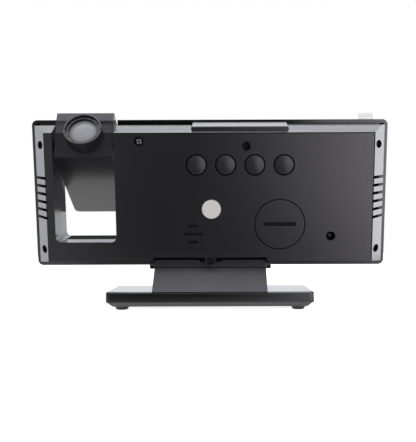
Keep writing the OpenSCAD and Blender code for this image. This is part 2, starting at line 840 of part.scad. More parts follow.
// the bars of one digit whose state matches; seen from the front, +X is to the right
module digit(n, state) {
  across = digit_w - bar_w - 0.6;
  up = digit_h / 2 - bar_w / 2 - 0.6;
  x = digit_w / 2 - bar_w / 2;
  y = (digit_h - bar_w) / 4;
  top = (digit_h - bar_w) / 2;
  spots = [[0, top, 0], [-x, y, 1], [x, y, 1], [0, 0, 0], [-x, -y, 1], [x, -y, 1], [0, -top, 0]];
  for (i = [0:6]) if (DIGIT_BARS[n][i] == state) {
    translate([spots[i][0], spots[i][1]]) bar(spots[i][2] ? up : across, spots[i][2] == 1);
  }
}

module bars(state) {
  for (i = [0:3]) {
    x = (i - 1.5) * digit_step + (i < 2 ? -colon_w / 2 : colon_w / 2);
    translate([display_mid[0] + x, display_mid[1]]) digit(shown[i], state);
  }
}

module lit_bars() {
  color([1, 1, 1]) on_stand() plate(display_d - bar_t, display_d) {
    bars(1);
    for (y = [-1, 1]) {
      translate([display_mid[0], display_mid[1] + y * digit_h / 5]) circle(bar_w * 0.55);
    }
  }
}

module dark_bars() {
  color([0.3, 0.3, 0.3]) on_stand() plate(display_d - bar_t, display_d) bars(0);
}

// ---------- clock head: electronics ----------

module main_board() {
  color([0.1, 0.35, 0.18]) on_stand() difference() {
    slab(board_x[0], board_x[1], board_d, board_back, board_w[0], board_w[1]);
    for (at = [left_screw, right_screw, lower_screw]) {
      post(at, board_d - 1, board_back + 1, frame_boss_r + 0.5);
    }
    for (at = board_posts) post(at, board_d - 1, board_back + 1, board_screw_r + 0.1);
  }
}

module board_parts() {
  color([0.12, 0.12, 0.12]) on_stand() {
    for (chip = [main_chip, driver_chip]) {
      slab(chip[0][0], chip[0][0] + chip[1][0], board_back, board_back + chip[1][2],
        chip[0][1], chip[0][1] + chip[1][1]);
    }
    slab(lead_x - lead_socket[0] / 2, lead_x + lead_socket[0] / 2, board_back,
      board_back + lead_socket[2], -16 - lead_socket[1], -16);
    for (can = capacitors) post(can[0], board_back, board_back + can[1], can[2]);
  }
}

module board_screws() {
  color([0.6, 0.6, 0.62]) on_stand() {
    for (at = board_posts) screw(at, board_back, board_t + 3.6, board_screw_r, board_screw_head, 1);
    for (at = button_posts) {
      translate([at[0], button_board_d, at[1]]) rotate([0, 0, 180])
        screw([0, 0], 0, board_t + 3, board_screw_r, board_screw_head, 1);
    }
  }
}

module button_board() {
  color([0.1, 0.35, 0.18]) on_stand() difference() {
    slab(key_xs[3] - button_board_side, key_xs[0] + button_board_side, button_board_d,
      button_board_d + board_t, -key_drop - button_board_down, -key_drop + button_board_up);
    for (at = button_posts) {
      post(at, button_board_d - 1, button_board_d + board_t + 1, board_screw_r + 0.1);
    }
  }
}

module button_switches() {
  back = button_board_d + board_t;
  color([0.75, 0.75, 0.76]) on_stand() for (x = key_xs) {
    slab(x - switch_size / 2, x + switch_size / 2, back, back + switch_t,
      -key_drop - switch_size / 2, -key_drop + switch_size / 2);
    post([x, -key_drop], back + switch_t - eps, switch_top, switch_cap_r);
  }
}

module snooze_board() {
  color([0.1, 0.35, 0.18]) on_stand()
    slab(snooze_stem_x - snooze_board_half[0], snooze_stem_x + snooze_board_half[0],
      snooze_stem_d - snooze_board_half[1], snooze_stem_d + snooze_board_half[1],
      snooze_board_w - board_t, snooze_board_w);
}

module snooze_switch() {
  color([0.75, 0.75, 0.76]) on_stand() {
    slab(snooze_stem_x - switch_size / 2, snooze_stem_x + switch_size / 2,
      snooze_stem_d - switch_size / 2, snooze_stem_d + switch_size / 2,
      snooze_board_w, snooze_board_w + switch_t);
    translate([snooze_stem_x, snooze_stem_d, snooze_board_w + switch_t - eps])
      cylinder(h = switch_cap_t + eps, r = switch_cap_r);
  }
}

module buzzer() {
  color([0.06, 0.06, 0.06]) on_stand() difference() {
    post(grille_pos, cover_in - buzzer_h, cover_in, buzzer_r);
    post(grille_pos, cover_in - 1.2, cover_in + 1, buzzer_hole_r);
  }
}

module coin_cell() {
  color([0.8, 0.8, 0.82]) on_stand() {
    post(door_pos, cell_d, cell_d + cell_t - 0.5, cell_r);
    post(door_pos, cell_d + cell_t - 0.6, cell_d + cell_t, cell_r - 0.8);
  }
}

module battery_contacts() {
  color([0.8, 0.78, 0.7]) on_stand() {
    // leaf under the cell
    slab(door_pos[0] - leaf_half[0], door_pos[0] + leaf_half[0], bay_floor,
      bay_floor + contact_t, door_pos[1] - leaf_half[1], door_pos[1] + leaf_half[1]);
    slab(door_pos[0] - 2.5, door_pos[0] + 2.5, bay_floor + contact_t - eps, cell_d,
      door_pos[1] - leaf_half[1], door_pos[1] + leaf_half[1]);
    // clip beside the cell
    difference() {
      post(door_pos, bay_floor, cell_d + 1.6, bay_r - 0.05);
      post(door_pos, bay_floor - 1, cell_d + 2.6, bay_r - 0.05 - contact_t);
      slab(door_pos[0] - bay_r - 1, door_pos[0] + bay_r + 1, bay_floor - 1, cell_d + 3,
        door_pos[1] - bay_r - 1, door_pos[1] + clip_from);
    }
  }
}

module power_inlet() {
  color([0.06, 0.06, 0.06]) on_stand() {
    difference() {
      slab(inlet_pos[0] - inlet_half, inlet_pos[0] + inlet_half, board_back, cover_in - fit_gap,
        inlet_pos[1] - inlet_half, inlet_pos[1] + inlet_half);
      post(inlet_pos, board_back + 2, cover_in + 1, inlet_r + 0.3);
    }
    post(inlet_pos, board_back + 2 - eps, cover_in - 1.4, 0.7);
  }
}

module case_screws() {
  color([0.75, 0.75, 0.76]) on_stand() {
    for (at = corner_screws) {
      screw(at, corner_seat, corner_seat - lens_t - 2, screw_r, screw_head_r, screw_head_t);
    }
    screw(left_screw, left_seat, left_seat - lens_t - 4, screw_r, screw_head_r, screw_head_t);
    screw(right_screw, right_seat, right_seat - lens_t - 3, screw_r, screw_head_r, screw_head_t);
    screw(lower_screw, lower_seat, lower_seat - lens_t - 3, screw_r, screw_head_r, screw_head_t);
  }
}

module rating_sticker() {
  color([0.78, 0.78, 0.76]) on_stand() post(sticker_pos, head_t, head_t + sticker_t, sticker_r);
}

module pivot_bushes() {
  color([0.85, 0.85, 0.8]) on_stand() for (side = [-1, 1]) {
    wall0 = side > 0 ? win_x1 : window_x - window_wall;
    flange0 = side > 0 ? win_x1 + window_wall : window_x - window_wall - bush_flange_t;
    difference() {
      union() {
        axle(wall0, wall0 + window_wall, pivot_d, pivot_w, bush_r);
        axle(flange0, flange0 + bush_flange_t, pivot_d, pivot_w, bush_flange_r);
      }
      axle(wall0 - 3, wall0 + window_wall + 3, pivot_d, pivot_w, pivot_r + run_gap);
    }
  }
}

// one round cable swept along its route
function unit(v) = v / norm(v);
function lead_way(i) = i == lead_last ? [0, 0, -1]
  : unit(lead_route[i + 1] - lead_route[max(i - 1, 0)]);
function lead_point(i, k) =
  let (across = unit(cross(lead_way(i), [0, 1, 0])), up = cross(lead_way(i), across),
    a = 360 * k / lead_sides)
  lead_route[i] + lead_r * (cos(a) * across + sin(a) * up);

module projector_cable() {
  n = lead_sides;
  points = [for (i = [0:lead_last], k = [0:n - 1]) lead_point(i, k)];
  sides = [for (i = [0:lead_last - 1], k = [0:n - 1])
    [i * n + k, i * n + (k + 1) % n, (i + 1) * n + (k + 1) % n, (i + 1) * n + k]];
  start = [for (k = [n - 1:-1:0]) k];
  end = [for (k = [0:n - 1]) lead_last * n + k];
  color([0.2, 0.2, 0.2]) on_stand() polyhedron(points, concat(sides, [start], [end]));
}

// ---------- projector ----------

module end_profile(drop) {
  polygon([[-proj_out, -drop], [end_flat, -drop], [end_step[0], end_step[1] - drop],
    [end_brow[0], end_brow[1] - drop], [proj_t, end_low - drop],
    [proj_t, -proj_len], [-proj_out, -proj_len]]);
}

// the projector's block, drawn in on every side by an inset
module proj_block(inset) {
  intersection() {
    profile(proj_x0 + inset, proj_x1 - inset) end_profile(inset);
    plate(-proj_out + inset, proj_t - inset)
      rounded(proj_x0 + inset, proj_x1 - inset, -proj_len + inset, barrel_top, tail_r - inset);
  }
}

// the barrel's axis runs along the height of the stored projector
module barrel(w0, w1, r) {
  translate([win_mid, lens_d, w0]) cylinder(h = w1 - w0, r = r);
}

module proj_body() {
  difference() {
    union() {
      difference() {
        proj_block(0);
        proj_block(proj_wall);
      }
      barrel(end_low - 4, barrel_top, barrel_r);
      // posts for the shell screws
      for (x = proj_screw_x) {
        post([x, proj_screw_w], 0, proj_t - proj_wall / 2, proj_post_r);
      }
    }
    barrel(end_low - 5, barrel_top + 1, barrel_r - barrel_wall);
    // notches in the barrel's rim where the shells meet
    slab(win_mid - barrel_r - 1, win_mid + barrel_r + 1, lens_d - rim_notch / 2,
      lens_d + rim_notch / 2, barrel_top - rim_notch, barrel_top + 1);
    for (x = proj_screw_x) {
      post([x, proj_screw_w], -1, proj_seat, screw_head_r + fit_gap);
      post([x, proj_screw_w], -1, lens_d, screw_r + screw_clear);
      post([x, proj_screw_w], lens_d - eps, proj_t - proj_wall, screw_r);
    }
    axle(proj_x0 - 1, proj_x1 + 1, pivot_d, pivot_w, pivot_r);
  }
}

module projector_front_shell() {
  color([0.09, 0.09, 0.10]) swung() intersection() {
    proj_body();
    slab(proj_x0 - 1, proj_x1 + 1, -proj_out - 1, lens_d, -proj_len - 1, barrel_top + 1);
  }
}

module projector_rear_shell() {
  color([0.11, 0.11, 0.12]) swung() intersection() {
    proj_body();
    slab(proj_x0 - 1, proj_x1 + 1, lens_d, proj_t + 1, -proj_len - 1, barrel_top + 1);
  }
}

module projector_screws() {
  color([0.75, 0.75, 0.76]) swung() for (x = proj_screw_x) {
    translate([x, proj_seat, proj_screw_w]) rotate([0, 0, 180])
      screw([0, 0], 0, lens_d + 4 - proj_seat, screw_r, screw_head_r, screw_head_t);
  }
}

module pivot_tubes() {
  color([0.6, 0.6, 0.62]) swung() for (side = [-1, 1]) {
    inner = side > 0 ? proj_x1 - proj_wall : proj_x0 + proj_wall;
    outer = side > 0 ? win_x1 + window_wall + tube_out : window_x - window_wall - tube_out;
    difference() {
      union() {
        axle(min(inner, outer), max(inner, outer), pivot_d, pivot_w, pivot_r);
        axle(side > 0 ? inner - 1 : inner, side > 0 ? inner : inner + 1, pivot_d, pivot_w,
          tube_flange_r);
      }
      axle(min(inner, outer) - 2, max(inner, outer) + 2, pivot_d, pivot_w, tube_bore);
    }
  }
}

// carrier of the optics, with two flanges that fit the shells
module optics_tube() {
  color([0.05, 0.05, 0.05]) swung() difference() {
    union() {
      barrel(core_low, core_top, core_r);
      for (w = [core_low, core_top - core_flange_t]) {
        slab(win_mid - core_half, win_mid + core_half, proj_wall + fit_gap,
          proj_t - proj_wall - fit_gap, w, w + core_flange_t);
      }
    }
    barrel(core_low + 6, core_top + 1, core_r - 1.2);
    barrel(core_low - 1, core_low + 7, 5);
    barrel(core_low + 3, core_low + 5.4, 6.6);
  }
}

module projector_lcd() {
  color([0.2, 0.25, 0.25]) swung()
    slab(win_mid - 4.6, win_mid + 4.6, lens_d - 4.6, lens_d + 4.6, core_low + 6, core_low + 7.1);
}

module condenser_lens() {
  color([0.8, 0.85, 0.9, 0.5]) swung() translate([win_mid, lens_d, core_low + 3])
    rotate_extrude() intersection() {
      translate([0, -9.6]) circle(12);
      square([6.5, 3]);
    }
}

module led_board() {
  color([0.1, 0.35, 0.18]) swung() {
    slab(win_mid - 9, win_mid + 9, lens_d - 8, lens_d + 8, core_low - board_t, core_low);
    slab(win_mid - 2.2, win_mid + 2.2, lens_d - 2.2, lens_d + 2.2, core_low, core_low + 1.8);
  }
}

// ---------- focus ----------

module focus_ring() {
  color([0.07, 0.07, 0.08]) swung() difference() {
    barrel(focus_low, focus_top, focus_r);
    barrel(focus_low - 1, focus_top + 1, lens_r - 0.9);
    barrel(focus_top - lens_depth, focus_top + 1, lens_r + 0.02);
    for (turn = [0:30:330]) {
      translate([win_mid, lens_d, focus_top - 0.4]) rotate([0, 0, turn])
        translate([lens_r + 0.3, -0.25, 0]) cube([2, 0.5, 2]);
    }
  }
}

module projection_lens() {
  dome = 22;
  color([0.75, 0.75, 0.8, 0.5]) swung() translate([win_mid, lens_d, focus_top - lens_depth])
    rotate_extrude() intersection() {
      translate([0, 3.7 - dome]) circle(dome, $fn = 180);
      square([lens_r, 3.8]);
    }
}

// ---------- buttons, snooze bar, battery door ----------

module key(i) {
  at = [key_xs[i], -key_drop];
  top = head_t + key_proud;
  under = cover_in - 0.2;
  color([0.06, 0.06, 0.07]) on_stand() {
    intersection() {
      post(at, under - key_flange_t, top, key_r);
      translate([at[0], top - key_crown_r, at[1]]) sphere(key_crown_r, $fn = 96);
    }
    post(at, under - key_flange_t, under, key_flange_r);
    post(at, switch_top + key_travel + 0.1, under, key_stem_r);
  }
}

module key_1() { key(0); }
module key_2() { key(1); }
module key_3() { key(2); }
module key_4() { key(3); }

module snooze_bar() {
  color([0.10, 0.10, 0.11]) on_stand() {
    profile(snooze_x0, snooze_x1) polygon([
      [snooze_front, snooze_high - strip_t], [snooze_back, snooze_edge - strip_t],
      [snooze_back, snooze_low], [snooze_front, snooze_low]
    ]);
    translate([snooze_stem_x, snooze_stem_d, snooze_board_w + switch_t + switch_cap_t
      + snooze_travel + 0.1])
      cylinder(h = snooze_low - snooze_board_w - switch_t - switch_cap_t - snooze_travel,
        r = snooze_stem_r);
  }
}

module snooze_strip() {
  color([0.8, 0.8, 0.82]) on_stand() profile(snooze_x0 + 0.3, snooze_x1 - 0.3) polygon([
    [snooze_front, snooze_high], [snooze_back, snooze_edge],
    [snooze_back, snooze_edge - strip_t], [snooze_front, snooze_high - strip_t]
  ]);
}

module battery_door() {
  color([0.10, 0.10, 0.11]) on_stand() difference() {
    union() {
      post(door_pos, head_t - door_t, head_t, door_r);
      difference() {
        post(door_pos, head_t - door_t - door_skirt_h, head_t - door_t + eps, door_skirt_r);
        post(door_pos, head_t - door_t - door_skirt_h - 1, head_t - door_t, door_skirt_r - 1);
      }
      for (at = [90, 270]) {
        plate(tab_d, tab_d + tab_t) translate(door_pos)
          arc(at - tab_half, at + tab_half, door_skirt_r - 0.5, door_skirt_r + tab_reach);
      }
    }
    slab(door_pos[0] - coin_slot_w / 2, door_pos[0] + coin_slot_w / 2, head_t - coin_slot_d,
      head_t + 1, door_pos[1] - coin_slot_h / 2, door_pos[1] + coin_slot_h / 2);
  }
}

base_cover();
base_plate();
base_weight();
rubber_feet();
base_screws();
stand_neck();
neck_screws();
hinge_pins();
front_frame();
rear_cover();
display_lens();
screen_film();
display_block();
lit_bars();
dark_bars();
main_board();
board_parts();
board_screws();
button_board();
button_switches();
snooze_board();
snooze_switch();
buzzer();
coin_cell();
battery_contacts();
power_inlet();
case_screws();
rating_sticker();
pivot_bushes();
projector_cable();
projector_front_shell();
projector_rear_shell();
projector_screws();
pivot_tubes();
optics_tube();
projector_lcd();
condenser_lens();
led_board();
focus_ring();
projection_lens();
key_1();
key_2();
key_3();
key_4();
snooze_bar();
snooze_strip();
battery_door();
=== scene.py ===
# %% [markdown]
# # A projection alarm clock
# The clock is a slim black head that leans back on a stand, with a projector in a window of the
# head. Its construction comes ready made, so this lesson is about looks: rounding the moulded
# edges, giving each plastic and metal its finish, and lighting black gloss on white.

import json
from math import cos, radians, sin

import bmesh
import bpy
from mathutils import Matrix, Vector


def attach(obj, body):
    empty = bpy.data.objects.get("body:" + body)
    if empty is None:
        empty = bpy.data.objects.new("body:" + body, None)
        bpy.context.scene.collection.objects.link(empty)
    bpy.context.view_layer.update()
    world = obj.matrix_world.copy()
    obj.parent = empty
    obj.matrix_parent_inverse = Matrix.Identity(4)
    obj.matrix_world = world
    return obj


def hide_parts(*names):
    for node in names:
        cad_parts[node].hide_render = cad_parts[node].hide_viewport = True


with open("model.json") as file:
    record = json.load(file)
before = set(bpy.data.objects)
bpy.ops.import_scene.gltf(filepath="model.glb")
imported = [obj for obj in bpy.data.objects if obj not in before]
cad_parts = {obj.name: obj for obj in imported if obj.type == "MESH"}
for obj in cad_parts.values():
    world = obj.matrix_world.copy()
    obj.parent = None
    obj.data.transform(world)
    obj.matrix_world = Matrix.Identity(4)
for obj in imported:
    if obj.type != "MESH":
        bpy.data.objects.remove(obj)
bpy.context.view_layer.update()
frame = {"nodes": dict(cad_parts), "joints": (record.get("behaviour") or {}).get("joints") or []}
nodes = frame["nodes"]
joints = {joint["name"]: joint for joint in frame["joints"]}
mm = 0.001

# %% [markdown]
# ## The head's own frame
# Everything on the head is placed by X, by depth from its front face and by height below its top
# edge. The joints give the directions: a button slides towards the front, and the snooze bar
# slides down along the lean. A point of the head is then a sum of three steps from its origin, the
# middle of the front's top edge.

# %% Place things on the leaning head
along = Vector((1, 0, 0))
back_way = -Vector(joints["key_1_press"]["axis"])
up_way = -Vector(joints["snooze_press"]["axis"])
hinge = Vector(joints["head_tilt"]["pos_m"])
hinge_depth = 16.5 * mm
hinge_height = -77.55 * mm
head_origin = hinge - hinge_depth * back_way - hinge_height * up_way


def head_matrix(x, depth, height):
    """Puts a shape that is drawn with Z out of the rear face at a place given in millimetres."""
    place = head_origin + x * mm * along + depth * mm * back_way + height * mm * up_way
    turn = Matrix((-along, up_way, back_way)).transposed().to_4x4()
    return Matrix.Translation(place) @ turn


print("the head's origin:", tuple(round(v, 4) for v in head_origin))

# %% [markdown]
# ## The camera
# A level camera stands behind the clock at table height, a little to one side, and looks straight
# at it. The lens is shifted rather than tilted, which keeps upright edges upright. The camera is
# rolled by a fifth of a degree, as a hand-set tripod is. A Track To constraint would aim it, but
# would tilt it too, so its three axes are written out and joined into a matrix.

# %% Set the camera
picture_size = (416, 442)
focal_px = 626
lens_axis_px = (226.3, 230.8)
camera_place = Vector((-8.75, 353.7, 41.7)) * mm
roll = radians(0.19)

camera_data = bpy.data.cameras.new("camera")
camera_data.sensor_width = 36
camera_data.lens = focal_px / picture_size[1] * camera_data.sensor_width
camera_data.shift_x = (picture_size[0] / 2 - lens_axis_px[0]) / picture_size[1]
camera_data.shift_y = (lens_axis_px[1] - picture_size[1] / 2) / picture_size[1]
camera_data.clip_start = 0.01
camera = bpy.data.objects.new("camera", camera_data)
camera_right = Vector((-cos(roll), 0, -sin(roll)))
camera_up = Vector((-sin(roll), 0, cos(roll)))
camera_back = Vector((0, 1, 0))
camera_turn = Matrix((camera_right, camera_up, camera_back)).transposed().to_4x4()
camera.matrix_world = Matrix.Translation(camera_place) @ camera_turn
bpy.context.scene.collection.objects.link(camera)
bpy.context.scene.camera = camera
bpy.context.scene.view_settings.view_transform = "Standard"
print("lens in mm:", round(camera_data.lens, 2))

# %% [markdown]
# ## Shader maths
# Materials here are networks of nodes. Written as Python expressions they stay readable, so one
# small class wraps a socket and turns +, - and * into Math nodes. Any other node comes from one
# method that takes the node's type, its settings and its inputs.

# %% A socket that does arithmetic


class Socket:
    """A shader socket that adds Math nodes when it is used in an expression."""

    def __init__(self, tree, socket):
        self.tree = tree
        self.socket = socket

    def maths(self, operation, first, second):
        return self.tree.node(
            "ShaderNodeMath", {"operation": operation}, {0: first, 1: second}
        )["Value"]

    def __add__(self, other):
        return self.maths("ADD", self, other)

    __radd__ = __add__

    def __mul__(self, other):
        return self.maths("MULTIPLY", self, other)

    __rmul__ = __mul__

    def __sub__(self, other):
        return self.maths("SUBTRACT", self, other)

    def __rsub__(self, other):
        return self.maths("SUBTRACT", other, self)

    def at_least(self, other):
        return self.maths("MAXIMUM", self, other)


print("a socket can:", [name.strip("_") for name in vars(Socket) if callable(vars(Socket)[name])])

# %% One method for every other node


class Outputs:
    """The outputs of one node, by name or by number."""

    def __init__(self, tree, node):
        self.tree = tree
        self.node = node

    def __getitem__(self, key):
        return Socket(self.tree, self.node.outputs[key])


class Tree:
    """A node tree whose nodes are made by one method."""

    def __init__(self, node_tree):
        self.node_tree = node_tree

    def node(self, kind, settings=None, inputs=None):
        """Makes a node, sets it up and then gives each input its value or its link."""
        made = self.node_tree.nodes.new(kind)
        for name, value in (settings or {}).items():
            setattr(made, name, value)
        for name, value in (inputs or {}).items():
            if isinstance(value, Socket):
                self.node_tree.links.new(value.socket, made.inputs[name])
            else:
                made.inputs[name].default_value = value
        return Outputs(self, made)


def new_material(name):
    """An empty material with its tree and its place coordinates."""
    material = bpy.data.materials.new(name)
    material.use_nodes = True
    material.node_tree.nodes.clear()
    tree = Tree(material.node_tree)
    place = tree.node("ShaderNodeTexCoord")["Object"]
    return material, tree, place


def finish_material(tree, **inputs):
    """Ends a material in one Principled shader, with base_color for its Base Color and so on."""
    sockets = {}
    for name, value in inputs.items():
        sockets[name.replace("_", " ").title().replace("Ior", "IOR")] = value
    shader = tree.node("ShaderNodeBsdfPrincipled", {}, sockets)
    tree.node("ShaderNodeOutputMaterial", {}, {"Surface": shader["BSDF"]})


print("materials before the first finish:", len(bpy.data.materials))

# %% [markdown]
# ## Patterns to build on
# Most finishes need the same few patterns: soft noise, a bump that follows it, a blend of two
# colours, and a smooth step. Where a finish changes from place to place, the step reads how far
# the place lies along a direction, so the pattern is measured in millimetres like everything else.

# %% Noise, bumps, blends and steps
# A Mix node has a socket of each name for every type of data, so colours go by number.
mix_factor = 0
mix_first = 6
mix_second = 7
mix_result = 2


def noise(tree, place, scale, detail=2.0, roughness=0.5):
    """Soft noise of about 0 to 1, with its middle at a half."""
    inputs = {"Vector": place, "Scale": scale, "Detail": detail, "Roughness": roughness}
    return tree.node("ShaderNodeTexNoise", {}, inputs)["Fac"]


def bump(tree, height, strength, distance_mm):
    """A normal that leans as a height changes over the surface."""
    inputs = {"Strength": strength, "Distance": distance_mm * mm, "Height": height}
    return tree.node("ShaderNodeBump", {}, inputs)["Normal"]


def blend_colours(tree, mask, first, second):
    """A colour that goes from first to second as the mask goes from 0 to 1."""
    inputs = {mix_factor: mask, mix_first: first, mix_second: second}
    return tree.node("ShaderNodeMix", {"data_type": "RGBA"}, inputs)[mix_result]


def ramp(tree, value, start, end, low, high):
    """A smooth step from low to high as the value goes from start to end."""
    return tree.node(
        "ShaderNodeMapRange",
        {"interpolation_type": "SMOOTHSTEP"},
        {"Value": value, "From Min": start, "From Max": end, "To Min": low, "To Max": high},
    )["Result"]


def band(tree, value, rise, fall):
    """1 inside a band whose two edges are soft, and 0 outside it."""
    return ramp(tree, value, *rise, 0, 1) * ramp(tree, value, *fall, 1, 0)


def distance_along(tree, place, origin, way):
    """How far a place lies from a point along a direction, in millimetres."""
    dot = tree.node("ShaderNodeVectorMath", {"operation": "DOT_PRODUCT"}, {0: place, 1: tuple(way)})
    return (dot["Value"] - origin.dot(way)) * (1 / mm)


print("patterns:", [made.__name__ for made in (noise, bump, blend_colours, ramp, band)])

# %% [markdown]
# ## Moulded plastic
# The shell is black ABS. Its mould was spark-eroded, which leaves a fine grain on the rear cover
# and almost none on the rim and the stand. Noises do this: two fine ones for the grain's bumps and
# a broad one that lets the gloss drift a little, as it does on a real moulding that has been
# handled. A picture of grain would need unwrapping and would repeat, and noise does neither. A
# polished plastic is a coat of gloss over a ground that mirrors almost nothing, so the weight of
# the coat is all that decides how much it shines.

# %% A black plastic
grain_height_mm = 0.05
grain_gloss = 0.03
ripple_mm = 1.1
ripple_share = 1.5
handled_scale = 22
handled_from = 0.35
handled_gain = 1.6
handled_gloss = 0.04
pale_gain = 1.35
pale_lift = 0.002
plain_ior = 1.5
ground_ior = 1.02
# The black into which a mask of painted shade turns a plastic's colour.
shade_black = (0.009, 0.009, 0.01, 1)


def plastic(name, colour, roughness, grain_mm, grain_depth, polish=None, shade_mask=None):
    """A grained plastic. Its polish is a number or a function of the place, and a mask says where
    its colour is painted darker for shade.
    """
    material, tree, place = new_material(name)
    fine = noise(tree, place, 1 / (grain_mm * mm), detail=3.0, roughness=0.6)
    ripple = noise(tree, place, 1 / (ripple_mm * mm), roughness=0.6)
    broad = noise(tree, place, handled_scale, detail=3.0, roughness=0.55)
    pale = tuple(min(1.0, part * pale_gain + pale_lift) for part in colour)
    handled = (broad - handled_from) * handled_gain
    tint = blend_colours(tree, handled, (*colour, 1), (*pale, 1))
    # Painted shade: where the mask is 1, the colour turns to the shaded black.
    if shade_mask:
        tint = blend_colours(tree, shade_mask(tree, place), tint, shade_black)
    finish_material(
        tree,
        base_color=tint,
        roughness=roughness + (broad - 0.5) * handled_gloss + (fine - 0.5) * grain_gloss,
        ior=plain_ior if polish is None else ground_ior,
        coat_weight=polish(tree, place) if callable(polish) else polish or 0.0,
        coat_roughness=roughness,
        normal=bump(tree, fine + ripple * ripple_share, grain_depth, grain_height_mm),
    )
    return material


print("a plain plastic has an IOR of", plain_ior, "and the ground of a polished one", ground_ior)

# %% Plastics of one gloss
shell_black = (0.0055, 0.0055, 0.006)
cover_plastic = plastic(
    "cover_plastic", shell_black, roughness=0.24, grain_mm=0.35, grain_depth=0.12
)
key_plastic = plastic(
    "key_plastic", (0.0045, 0.0045, 0.005), roughness=0.37, grain_mm=0.3, grain_depth=0.1,
    polish=0.74,
)
optics_plastic = plastic(
    "optics_plastic", (0.003, 0.003, 0.0035), roughness=0.3, grain_mm=0.4, grain_depth=0.1
)
print("plastics:", [material.name for material in (cover_plastic, key_plastic, optics_plastic)])

# %% Rubber, painted shade and the plastics inside
# The black of the painted shade in the gaps.
painted_shade_black = (0.003, 0.003, 0.003)
rubber = plastic("rubber", (0.012, 0.012, 0.012), roughness=0.62, grain_mm=0.5, grain_depth=0.5)
white_plastic = plastic(
    "white_plastic", (0.62, 0.62, 0.6), roughness=0.45, grain_mm=0.6, grain_depth=0.1
)
component_plastic = plastic(
    "component_plastic", (0.02, 0.02, 0.021), roughness=0.42, grain_mm=0.4, grain_depth=0.2
)
dark_digit = plastic(
    "dark_digit", (0.03, 0.03, 0.032), roughness=0.5, grain_mm=0.4, grain_depth=0.1
)
# Painted shade: a matt black for the gaps round keys, door and screw, and a paler one for the
# slots.
painted_shade = plastic("painted_shade", painted_shade_black, roughness=0.95, grain_mm=0.3, grain_depth=0.6, polish=0.0)
slot_shade = plastic(
    "slot_shade", (0.017, 0.017, 0.018), roughness=0.95, grain_mm=0.3, grain_depth=0.6, polish=0.0
)
print("materials so far:", len(bpy.data.materials))

# %% [markdown]
# ## Worn and polished places
# The gloss isn't the same everywhere. The sill of the window is left as it was cut, the rim is
# duller along its top, and the end of the projector is polished in bands. Each is a polish that
# follows the place on the part: the distance along one direction, cut into soft bands. Such places
# could be faces of their own with another material, but then they would have hard edges.

# %% Distances on the clock
world_origin = Vector((0, 0, 0))
flat_back = 23.5


def across(tree, place):
    """X on the clock."""
    return distance_along(tree, place, world_origin, along)


def head_depth(tree, place):
    """Depth behind the front face of the head."""
    return distance_along(tree, place, head_origin, back_way)


def head_height(tree, place):
    """Height over the head's top edge, so the places below that edge have numbers below 0."""
    return distance_along(tree, place, head_origin, up_way)


print("the flat back is at a depth of", flat_back, "mm")

# %% Polish of the head's mouldings
sill_x = ((51.5, 52), (79.5, 80))
sill_depth = ((0.3, 0.6), (12.6, 13.2))
sill_height = ((-66.6, -66.2), (-64.1, -63.9))
flat_side = (-86.2, -86)
flat_top = (-7.7, -7.5)
flat_depth = (flat_back - 0.3, flat_back - 0.1)
edge_dulling = 0.85
speckle_mm = 0.8
speckle_range = 0.7
speckle_least = 0.62
rim_top = (-3, -2)
rim_corner = (-65, -35)
rim_dulling = 0.8


def sill_polish(tree, place):
    """Gloss everywhere but on the sill of the window."""
    level = band(tree, head_height(tree, place), *sill_height)
    inside = band(tree, across(tree, place), *sill_x)
    cut = band(tree, head_depth(tree, place), *sill_depth)
    return 1 - level * inside * cut


def back_polish(tree, place):
    """The sill's polish, finely speckled, and duller along two edges of the flat back."""
    from_side = ramp(tree, across(tree, place), *flat_side, 0, 1)
    from_top = ramp(tree, head_height(tree, place), *flat_top, 1, 0)
    on_flat = ramp(tree, head_depth(tree, place), *flat_depth, 0, 1)
    edge = (1 - from_side * from_top) * on_flat
    grains = noise(tree, place, 1 / (speckle_mm * mm), roughness=0.6)
    speckle = grains * speckle_range + speckle_least
    return sill_polish(tree, place) * (1 - edge * edge_dulling) * speckle


def rim_polish(tree, place):
    """The sill's polish, and far less along the top of the rim, but for one corner."""
    top = ramp(tree, head_height(tree, place), *rim_top, 0, rim_dulling)
    from_corner = ramp(tree, across(tree, place), *rim_corner, 0, 1)
    return sill_polish(tree, place) * (1 - top * from_corner)


back_plastic = plastic(
    "back_plastic", shell_black, roughness=0.24, grain_mm=0.35, grain_depth=0.3,
    polish=back_polish,
)
rim_plastic = plastic(
    "rim_plastic", (0.005, 0.005, 0.0056), roughness=0.12, grain_mm=0.5, grain_depth=0.05,
    polish=rim_polish,
)
print("nodes in the rear cover's finish:", len(back_plastic.node_tree.nodes))

# %% Polish of the projector's end
pivot = Vector(joints["projector_swing"]["pos_m"])
lens_way = Vector(joints["focus_turn"]["axis"])
under_way = lens_way.cross(along)
end_reach = 10.5
slope_from = 1
slope_fall = 0.303
end_skin = ((-0.3, 0), (0.6, 0.9))
first_step = (-5.6, -5.4)
second_step = (-3.5, -3.3)
third_step = (0.9, 1.2)


def end_polish(tree, place):
    """Bands of gloss over the end of the projector, full gloss elsewhere."""
    reach = distance_along(tree, place, pivot, lens_way)
    under = distance_along(tree, place, pivot, under_way)
    bands = (
        ramp(tree, under, *first_step, 1, 0.08)
        + ramp(tree, under, *second_step, 0, 0.5)
        + ramp(tree, under, *third_step, 0, -0.36)
    )
    end_face = end_reach - (under - slope_from).at_least(0) * slope_fall
    on_face = band(tree, reach - end_face, *end_skin)
    return on_face * bands + (1 - on_face)


projector_plastic = plastic(
    "projector_plastic", (0.0125, 0.0125, 0.0145), roughness=0.24, grain_mm=0.35,
    grain_depth=0.12, polish=end_polish,
)
print("the projector's end faces", tuple(round(v, 3) for v in lens_way))

# %% Polish of the stand
rear_edge_from = (26.1, 26.5)
fades_over = (-45, 35)
fades_by = 0.3
# The knuckle lies in the shade under the head, and its colour is painted dark over these heights.
knuckle_from = (21.2, 21.8)
knuckle_dulling = 0.5


